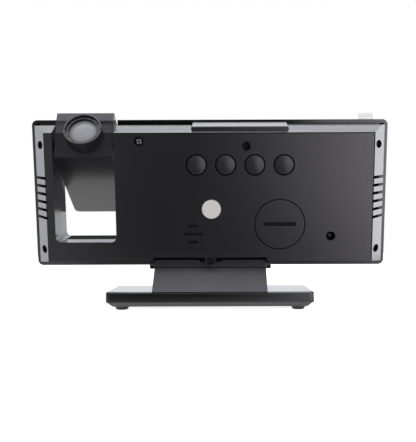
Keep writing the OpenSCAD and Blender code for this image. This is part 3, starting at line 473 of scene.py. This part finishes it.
def edge_polish(tree, place):
    """Full gloss, but less of it along the rear edge of the base towards the projector."""
    to_rear = distance_along(tree, place, world_origin, Vector((0, 1, 0)))
    rear_edge = ramp(tree, to_rear, *rear_edge_from, 0, 1)
    return 1 - rear_edge * ramp(tree, across(tree, place), *fades_over, 0, fades_by)


def knuckle_shade(tree, place):
    """Painted shade: black on the knuckle under the head, above the slanting plate of the neck."""
    height = distance_along(tree, place, world_origin, Vector((0, 0, 1)))
    return ramp(tree, height, *knuckle_from, 0, 1)


def neck_polish(tree, place):
    """Full gloss on the neck's slanting plate, and half of it on the knuckle."""
    return 1 - knuckle_shade(tree, place) * knuckle_dulling


stand_plastic = plastic(
    "stand_plastic", (0.006, 0.006, 0.0068), roughness=0.16, grain_mm=0.45, grain_depth=0.06,
    polish=edge_polish,
)
# Painted light: the neck's grey is far paler than the stand's black, for the bright room that its
# slanting plate reflects.
neck_plastic = plastic(
    "neck_plastic", (0.066, 0.066, 0.071), roughness=0.5, grain_mm=0.45, grain_depth=0.1,
    polish=neck_polish, shade_mask=knuckle_shade,
)
print("nodes in the neck's finish:", len(neck_plastic.node_tree.nodes))

# %% [markdown]
# ## Metals, paper, glass and light
# The snooze bar carries a strip of silver paint, the screws of the head are blackened steel, and
# the sticker is plain paper. The lenses are moulded clear plastic. The digits glow by themselves,
# so their material gives off light. Each finish is a noise that shades the colour and moves the
# roughness a little, and they differ in how fine it is. Stretched along one direction, the noise
# of a metal turns into the streaks of a brush, on any shape and without unwrapping.

# %% Metals


def metal(name, colour, roughness, brushed_mm=0.25, stretch=(1, 1, 1)):
    """A metal with fine marks, which a stretch turns into the streaks of a brush."""
    material, tree, place = new_material(name)
    streaks = tree.node("ShaderNodeMapping", {}, {"Vector": place, "Scale": stretch})["Vector"]
    marks = noise(tree, streaks, 1 / (brushed_mm * mm), detail=3.0, roughness=0.6)
    broad = noise(tree, place, 60)
    dull = tuple(part * 0.8 for part in colour)
    finish_material(
        tree,
        base_color=blend_colours(tree, broad, (*dull, 1), (*colour, 1)),
        metallic=1.0,
        roughness=roughness + (marks - 0.5) * 0.08,
        normal=bump(tree, marks, strength=0.12, distance_mm=0.03),
    )
    return material


screw_steel = metal("screw_steel", (0.66, 0.66, 0.68), roughness=0.26)
black_steel = metal("black_steel", (0.018, 0.018, 0.02), roughness=0.3)
pin_steel = metal(
    "pin_steel", (0.6, 0.6, 0.62), roughness=0.22, brushed_mm=0.2, stretch=(1, 8, 8)
)
weight_steel = metal(
    "weight_steel", (0.4, 0.4, 0.42), roughness=0.4, brushed_mm=0.5, stretch=(1, 6, 6)
)
cell_steel = metal(
    "cell_steel", (0.75, 0.75, 0.77), roughness=0.24, brushed_mm=0.3, stretch=(1, 6, 1)
)
contact_metal = metal("contact_metal", (0.72, 0.68, 0.55), roughness=0.28)
metals = (screw_steel, black_steel, pin_steel, weight_steel, cell_steel, contact_metal)
print("metals:", [material.name for material in metals])

# %% Silver paint and paper


def silver_paint():
    """Matt paint with fine flakes of metal in it."""
    material, tree, place = new_material("silver_paint")
    flake_mm = 0.12
    flakes = noise(tree, place, 1 / (flake_mm * mm), roughness=0.6)
    finish_material(
        tree,
        base_color=blend_colours(tree, flakes, (0.2, 0.2, 0.21, 1), (0.28, 0.28, 0.29, 1)),
        metallic=0.2,
        roughness=0.42 + (flakes - 0.5) * 0.1,
        normal=bump(tree, flakes, strength=0.1, distance_mm=0.02),
    )
    return material


def sticker_paper():
    """Paper with short fibres, a little warm."""
    material, tree, place = new_material("sticker_paper")
    fibre_mm = 0.3
    fibres = noise(tree, place, 1 / (fibre_mm * mm), detail=4.0, roughness=0.7)
    shade = (0.58, 0.565, 0.545, 1)
    sheen = (0.68, 0.665, 0.64, 1)
    finish_material(
        tree,
        base_color=blend_colours(tree, fibres, shade, sheen),
        roughness=0.6 + (fibres - 0.5) * 0.2,
        normal=bump(tree, fibres, strength=0.2, distance_mm=0.02),
    )
    return material


silver = silver_paint()
paper = sticker_paper()
print("paint and paper:", silver.name, paper.name)

# %% Film


def clear_film():
    """Thin film with slow waves, through which most of what is behind it shows."""
    material, tree, place = new_material("clear_film")
    waves = noise(tree, place, 60)
    finish_material(
        tree,
        base_color=(0.8, 0.81, 0.82, 1),
        roughness=0.12 + waves * 0.06,
        alpha=0.3,
        normal=bump(tree, waves, strength=0.15, distance_mm=0.2),
    )
    return material


film = clear_film()
print("film:", film.name)

# %% Glass


def tinted_panel():
    """Dark glossy acrylic, through which the lit digits show."""
    material, tree, place = new_material("tinted_panel")
    finish_material(
        tree,
        base_color=(0.004, 0.004, 0.005, 1),
        roughness=0.05 + noise(tree, place, 30) * 0.03,
        alpha=0.62,
        ior=1.49,
        coat_weight=0.4,
        coat_roughness=0.03,
    )
    return material


def clear_lens():
    """Painted light: a moulded clear lens given a pale, mottled grey for the light seen in it, so
    that it is not a dark hole.
    """
    material, tree, place = new_material("clear_lens")
    # Painted light: noise mottles the pale grey that stands for the light in the lens.
    soft_light = noise(tree, place, 120, detail=3.0)
    finish_material(
        tree,
        base_color=blend_colours(tree, soft_light, (0.245, 0.245, 0.275, 1), (0.33, 0.33, 0.36, 1)),
        roughness=0.24 + soft_light * 0.1,
        ior=1.3,
        coat_weight=0.2,
        coat_roughness=0.2,
    )
    return material


panel_glass = tinted_panel()
lens_glass = clear_lens()
print("glass:", panel_glass.name, lens_glass.name)

# %% Glowing digits


def glow():
    """Cool white light from the bars of the digits, a little uneven."""
    material, tree, place = new_material("lit_digit")
    cells = noise(tree, place, 400, detail=1.0)
    bright = (0.92, 0.96, 1.0)
    dim = tuple(part * 0.86 for part in bright)
    finish_material(
        tree,
        base_color=(0.6, 0.62, 0.65, 1),
        roughness=0.5,
        emission_color=blend_colours(tree, cells, (*dim, 1), (*bright, 1)),
        emission_strength=2.6,
    )
    return material


lit_digit = glow()
print("light:", lit_digit.name)

# %% Circuit boards
track_scale = 260
track_width = 0.06


def circuit_board():
    """Green board with paler tracks, which follow the edges of irregular cells."""
    material, tree, place = new_material("circuit_board")
    cells = tree.node(
        "ShaderNodeTexVoronoi",
        {"feature": "DISTANCE_TO_EDGE"},
        {"Vector": place, "Scale": track_scale},
    )
    to_edge = cells["Distance"]
    track = to_edge.maths("LESS_THAN", to_edge, track_width)
    tint = blend_colours(tree, track, (0.012, 0.09, 0.04, 1), (0.03, 0.2, 0.09, 1))
    finish_material(tree, base_color=tint, roughness=0.35 + track * 0.1)
    return material


board_green = circuit_board()
print("materials in all:", len(bpy.data.materials))

# %% [markdown]
# ## Dress the parts
# A part whose shape is already right keeps its mesh and only gets a finish. Finishes could be set
# part by part, but one table says at a glance which parts share one, and the print after it shows
# whether a part was left out. A part that is rounded later hands its finish on to the copy.

# %% Finishes of the parts
finishes = {
    rim_plastic: ["front_frame"],
    projector_plastic: ["projector_front_shell", "projector_rear_shell"],
    stand_plastic: ["base_cover", "base_plate"],
    neck_plastic: ["stand_neck"],
    back_plastic: ["rear_cover"],
    cover_plastic: ["battery_door", "snooze_bar"],
    key_plastic: ["key_1", "key_2", "key_3", "key_4"],
    optics_plastic: ["optics_tube", "focus_ring"],
    rubber: ["rubber_feet", "projector_cable"],
    white_plastic: ["display_block", "pivot_bushes"],
    component_plastic: [
        "board_parts", "button_switches", "snooze_switch", "buzzer", "power_inlet",
    ],
    screw_steel: ["base_screws", "neck_screws", "board_screws"],
    black_steel: ["case_screws", "projector_screws"],
    pin_steel: ["hinge_pins", "pivot_tubes"],
    weight_steel: ["base_weight"],
    cell_steel: ["coin_cell"],
    contact_metal: ["battery_contacts"],
    silver: ["snooze_strip"],
    paper: ["rating_sticker"],
    film: ["screen_film"],
    panel_glass: ["display_lens", "projector_lcd"],
    lens_glass: ["projection_lens", "condenser_lens"],
    lit_digit: ["lit_bars"],
    dark_digit: ["dark_bars"],
    board_green: ["main_board", "button_board", "snooze_board", "led_board"],
}
for material, names in finishes.items():
    for name in names:
        nodes[name].data.materials.clear()
        nodes[name].data.materials.append(material)
undressed = set(nodes) - {name for names in finishes.values() for name in names}
print("parts without a finish:", sorted(undressed))

# %% [markdown]
# ## Round the moulded edges
# No moulding has a knife edge: each one is rounded by a few tenths of a millimetre, and on black
# plastic that rounding is what catches the light. A copy of the part has its loose triangles
# merged and its flat faces joined, and then a Bevel modifier rounds what is sharp. The modifier is
# better here than a bevel of chosen edges, because it finds them all by their angle. The copy
# stands for the part.

# %% Copy a part and round it
weld_distance = 0.002 * mm
flat_within = radians(1)
rounded_from = radians(32)
sharp_from = radians(30)


def add_object(name, mesh):
    """A new object at the origin that shows a mesh."""
    made = bpy.data.objects.new(name, mesh)
    bpy.context.scene.collection.objects.link(made)
    return made


def rounded_copy(name, body, radius_mm):
    """A copy of a part with rounded edges, which stands for it and keeps its finish."""
    mesh = nodes[name].data.copy()
    shape = bmesh.new()
    shape.from_mesh(mesh)
    bmesh.ops.remove_doubles(shape, verts=shape.verts, dist=weld_distance)
    bmesh.ops.dissolve_limit(
        shape, angle_limit=flat_within, verts=shape.verts, edges=shape.edges, delimit={"NORMAL"}
    )
    shape.to_mesh(mesh)
    shape.free()
    for face in mesh.polygons:
        face.use_smooth = True
    mesh.set_sharp_from_angle(angle=sharp_from)
    piece = add_object(name + "_moulding", mesh)
    rounding = piece.modifiers.new("rounding", "BEVEL")
    rounding.width = radius_mm * mm
    rounding.segments = 2
    rounding.limit_method = "ANGLE"
    rounding.angle_limit = rounded_from
    rounding.use_clamp_overlap = True
    rounding.miter_outer = "MITER_ARC"
    shading = piece.modifiers.new("flat faces", "WEIGHTED_NORMAL")
    shading.mode = "FACE_AREA"
    shading.weight = 100
    shading.keep_sharp = True
    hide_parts(name)
    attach(piece, body)
    return piece


print("edges are rounded from an angle of", round(rounded_from, 2), "radians")

# %% Round the mouldings
mouldings = [
    ("rear_cover", "head", 0.18),
    ("front_frame", "head", 0.35),
    ("base_cover", "stand", 0.3),
    ("base_plate", "stand", 0.2),
    ("stand_neck", "stand", 0.15),
    ("projector_front_shell", "projector", 0.2),
    ("projector_rear_shell", "projector", 0.2),
    ("battery_door", "battery_door", 0.12),
    ("snooze_bar", "snooze", 0.15),
    ("focus_ring", "focus", 0.08),
    ("projection_lens", "focus", 0.03),
    ("key_1", "key_1", 0.2),
    ("key_2", "key_2", 0.2),
    ("key_3", "key_3", 0.2),
    ("key_4", "key_4", 0.2),
]
for name, body, radius_mm in mouldings:
    piece = rounded_copy(name, body, radius_mm)
    print(name, "faces:", len(piece.data.polygons))

# %% [markdown]
# ## Painted shade in the gaps
# Gaps between moulded parts read as dark lines, because they lie in shade. That shade is painted:
# matt black rings sit in the gaps round the buttons and round the battery door, and dark strips sit
# in the coin slot and in the sound slots. All of them are drawn flat, at levels over one plane a
# little under the flat back, and then put in their place. A square section spun round gives a ring
# in one step, and a scaled cube gives a strip.

# %% Build rings and blocks
inset_plane = flat_back - 0.9
lip = (0.85, 0.92)
small_pieces = []


def build(name, material, body, matrix, draw):
    """A new piece that is drawn at the origin and then put in its place."""
    mesh = bpy.data.meshes.new(name)
    shape = bmesh.new()
    draw(shape)
    bmesh.ops.recalc_face_normals(shape, faces=shape.faces)
    bmesh.ops.transform(shape, matrix=matrix, verts=shape.verts)
    shape.to_mesh(mesh)
    shape.free()
    mesh.materials.append(material)
    piece = add_object(name, mesh)
    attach(piece, body)
    small_pieces.append(piece.name)


def add_ring(shape, inner, outer, low, high, steps=64):
    """A flat ring: its square section, spun once round the axis."""
    section = ((inner, low), (outer, low), (outer, high), (inner, high))
    verts = [shape.verts.new((radius * mm, 0, level * mm)) for radius, level in section]
    edges = [shape.edges.new((vert, verts[index - 1])) for index, vert in enumerate(verts)]
    bmesh.ops.spin(
        shape, geom=verts + edges, cent=(0, 0, 0), axis=(0, 0, 1), angle=radians(360),
        steps=steps, use_merge=True,
    )


def add_block(shape, width, height, low, high, turn=0.0, rise=0.0):
    """A block from one level to another, moved up by rise and then turned."""
    size = Matrix.Diagonal((width * mm, height * mm, (high - low) * mm, 1))
    move = Matrix.Translation((0, rise * mm, (high + low) / 2 * mm))
    matrix = Matrix.Rotation(turn, 4, "Z") @ move @ size
    bmesh.ops.create_cube(shape, size=1, matrix=matrix)


print("a lip ends", round(inset_plane + lip[1] - flat_back, 2), "mm over the flat back")

# %% Painted shade round the keys and the door
key_first_x = 6.8
key_pitch = 15.35
key_height = -23.9
key_gap = (4.93, 5.47)
key_lip = (5.4, 5.64)
door_place = head_matrix(-37.2, inset_plane, -55.3)
door_lip = (13.05, 13.6)


def draw_key_shade(shape):
    """Painted shade: a black ring down in the gap, and a thin black lip at the edge of the hole."""
    add_ring(shape, *key_gap, -0.3, 0.05)
    add_ring(shape, *key_lip, *lip)


def draw_door_shade(shape):
    """Painted shade: the thin black lip of the battery door's hole."""
    add_ring(shape, *door_lip, *lip, steps=96)


for index in range(4):
    key_place = head_matrix(key_first_x - key_pitch * index, inset_plane, key_height)
    build(f"key_shade_{index + 1}", painted_shade, "head", key_place, draw_key_shade)
build("door_shade", painted_shade, "head", door_place, draw_door_shade)
print("rings:", small_pieces)

# %% Painted shade in the slots
sound_place = head_matrix(8.85, inset_plane, -60.4)
sound_rows = ((4.5, 4.3), (9.7, 0), (4.6, -4.3))
sound_strip_height = 1.15
end_gap = 0.05
coin_strip = (16.9, 2.15)


def draw_coin_slot_shade(shape):
    """Painted shade: a dark strip on the floor of the coin slot."""
    add_block(shape, *coin_strip, -0.45, -0.35)


def draw_sound_slot_shade(shape):
    """Painted shade: a dark strip in each row of the sound slots, a little shorter than its slot.
    """
    for width, rise in sound_rows:
        add_block(shape, width - 2 * end_gap, sound_strip_height, -0.5, -0.4, rise=rise)


build("coin_slot_shade", slot_shade, "battery_door", door_place, draw_coin_slot_shade)
build("sound_slot_shade", slot_shade, "head", sound_place, draw_sound_slot_shade)
print("rings and strips:", len(small_pieces))

# %% [markdown]
# ## The screw that shows
# One case screw is nearly flush. Its face is a painted highlight, a low disc of silver paint over
# the blackened screw, and its dark cross and the dark ring round it are painted shade. A cone with
# almost equal ends gives the disc a slanting edge, and two blocks that cross each other are simpler
# than cutting the cross out.

# %% The flush screw
screw_place = head_matrix(36.8, inset_plane, -11.5)
screw_steps = 40
cross_long = 2.9
cross_wide = 0.5
cross_levels = (-0.34, -0.28)
cross_turn = 0.2
screw_ring = (1.45, 2.2)
screw_lip = (2.15, 2.45)


def draw_screw_highlight(shape):
    """Painted highlight: the low, pale disc of the screw's head."""
    lift = Matrix.Translation((0, 0, -0.36 * mm))
    bmesh.ops.create_cone(
        shape, cap_ends=True, segments=screw_steps, radius1=1.5 * mm, radius2=1.4 * mm,
        depth=0.06 * mm, matrix=lift,
    )


def draw_screw_shade(shape):
    """Painted shade: the cross, the dark ring round the head and the lip of its hole."""
    add_block(shape, cross_long, cross_wide, *cross_levels, turn=cross_turn)
    add_block(shape, cross_wide, cross_long, *cross_levels, turn=cross_turn)
    add_ring(shape, *screw_ring, -0.38, -0.28, screw_steps)
    add_ring(shape, *screw_lip, *lip, screw_steps)


build("screw_highlight", silver, "head", screw_place, draw_screw_highlight)
build("screw_shade", painted_shade, "head", screw_place, draw_screw_shade)
print("small pieces:", len(small_pieces))

# %% [markdown]
# ## The studio
# Black gloss shows its surroundings more than itself, so the light is built from large soft
# surfaces. Lamps would do, but each would show in the gloss with a hard edge. The clock stands on
# a white sheet that ends a little behind it. The room in front of the clock, at its sides and
# above it is white. The side that its rear face looks at is dark, apart from a bright window at
# one end, whose soft edge runs over the rear cover, and a narrow lamp at the other.

# %% The white sheet
sheet_half_width = 0.3
sheet_front = -1.5
sheet_back = 0.07
sheet_light = 0.88
floor_mesh = bpy.data.meshes.new("floor")
shape = bmesh.new()
bmesh.ops.create_grid(shape, x_segments=1, y_segments=1, size=1)
bmesh.ops.scale(shape, vec=(sheet_half_width, (sheet_back - sheet_front) / 2, 1), verts=shape.verts)
bmesh.ops.translate(shape, vec=(0, (sheet_back + sheet_front) / 2, 0), verts=shape.verts)
shape.to_mesh(floor_mesh)
shape.free()
floor = add_object("floor", floor_mesh)
print("the sheet ends", round(sheet_back / mm), "mm behind the clock's middle")

# %% The sheet's material
# The camera, mirrors and glass see pale paint that glows as well. Other rays see the paint alone.
floor_material, tree, place = new_material("floor")
rays = tree.node("ShaderNodeLightPath")
seen = rays["Is Camera Ray"].at_least(rays["Is Glossy Ray"]).at_least(rays["Is Transmission Ray"])
paint = tree.node("ShaderNodeBsdfDiffuse", {}, {"Color": (0.8, 0.8, 0.8, 1)})["BSDF"]
glowing = {"Color": (1, 1, 1, 1), "Strength": sheet_light}
light = tree.node("ShaderNodeEmission", {}, glowing)["Emission"]
bright = tree.node("ShaderNodeAddShader", {}, {0: paint, 1: light})["Shader"]
mixed = tree.node("ShaderNodeMixShader", {}, {0: seen, 1: paint, 2: bright})["Shader"]
tree.node("ShaderNodeOutputMaterial", {}, {"Surface": mixed})
floor_mesh.materials.append(floor_material)
print("nodes in the sheet's material:", len(floor_material.node_tree.nodes))

# %% [markdown]
# ## The room
# The room is one world material. The direction of a ray says where it ends: X tells left from
# right as the camera sees them, Y the rear from the front, and Z the ceiling from the walls. Each
# wall, the window and the lamp is a smooth step or two in those three numbers. Only mirrors see
# the room: the camera sees white, and everything that is lit softly gets one plain light.

# %% How bright the room is
plain_light = 0.9
front_wall = 1.2
left_wall = 1.95
right_wall = 3.8
rear_wall = 0.06
window_light = 2.2
window_haze = 0.12
window_edge_light = 5
lamp_light = 1.6
lamp_rest = 0.25
ceiling_light = 2.5
soft_box_light = 6.0
white = (1, 1, 1, 1)
pale_tint = (0.955, 0.965, 1.02, 1)
rear_tint = (0.985, 0.945, 1.03, 1)
print("walls:", front_wall, left_wall, right_wall, rear_wall, "ceiling:", ceiling_light)

# %% The directions of the room
# Each pair is a soft edge: the numbers of X, Y or Z between which one thing gives way to the next.
world = bpy.data.worlds.new("studio")
world.use_nodes = True
world.node_tree.nodes.clear()
bpy.context.scene.world = world
tree = Tree(world.node_tree)
direction = tree.node("ShaderNodeTexCoord")["Generated"]
parts = tree.node("ShaderNodeSeparateXYZ", {}, {"Vector": direction})
x, y, z = parts["X"], parts["Y"], parts["Z"]
rear_from = (0.1, 0.6)
above_from = (0.3, 0.75)
rear = ramp(tree, y, *rear_from, 0, 1)
above = ramp(tree, z, *above_from, 0, 1)
print("nodes for the directions:", len(world.node_tree.nodes))

# %% Where the room is pale
left_from = (0.3, 0.8)
left_foot = (-0.34, -0.2)
right_until = (-0.8, -0.3)
box_from = (0.8, 0.94)
box_until = (-0.1, 0.25)
left = ramp(tree, x, *left_from, 0, left_wall - front_wall) * ramp(tree, z, *left_foot, 0, 1)
right = ramp(tree, x, *right_until, right_wall - front_wall, 0)
pale_walls = front_wall + left + right
soft_box = ramp(tree, y, *box_until, soft_box_light - ceiling_light, 0)
ceiling = ceiling_light + ramp(tree, z, *box_from, 0, 1) * soft_box
print("nodes with the pale walls:", len(world.node_tree.nodes))

# %% Where the rear wall is bright
# Below a little under the horizon, the end of the window leans.
leans_under = -0.25
lean_rate = 1.1
haze_until = (-0.08, 0.08)
pane_until = (-0.18, -0.05)
window_foot = (-0.32, -0.23)
window_foot_light = 0.45
window_edge = ((-0.33, -0.29), (-0.262, -0.243))
lamp_from = (0.2, 0.26)
lamp_until = (0.288, 0.3)
leaning_x = x + (leans_under - z).at_least(0) * lean_rate
soft_light = ramp(tree, leaning_x, *haze_until, window_haze, 0)
pane = ramp(tree, leaning_x, *pane_until, window_light, 0)
window = (soft_light + pane) * ramp(tree, z, *window_foot, window_foot_light, 1)
edge_end = ramp(tree, x, *window_edge[1], window_edge_light, 0)
edge = edge_end * ramp(tree, x, *window_edge[0], 0.1, 1)
lamp = ramp(tree, x, *lamp_from, 0, lamp_light) * ramp(tree, x, *lamp_until, 1, lamp_rest)
dark_side = window + edge + lamp + rear_wall
print("nodes with the rear wall:", len(world.node_tree.nodes))

# %% Join the room
walls = (1 - rear) * pale_walls + rear * dark_side
mirrored = walls * (1 - above) + above * ceiling
rays = tree.node("ShaderNodeLightPath")
glossy = rays["Is Glossy Ray"]
seen = rays["Is Camera Ray"].at_least(rays["Is Transmission Ray"])
shown = (glossy * mirrored + (1 - glossy) * plain_light) * (1 - seen) + seen
tint = blend_colours(tree, glossy, white, blend_colours(tree, rear, pale_tint, rear_tint))
sky = tree.node("ShaderNodeBackground", {}, {"Color": tint, "Strength": shown})["Background"]
tree.node("ShaderNodeOutputWorld", {}, {"Surface": sky})
print("nodes in the whole room:", len(world.node_tree.nodes))

# %% [markdown]
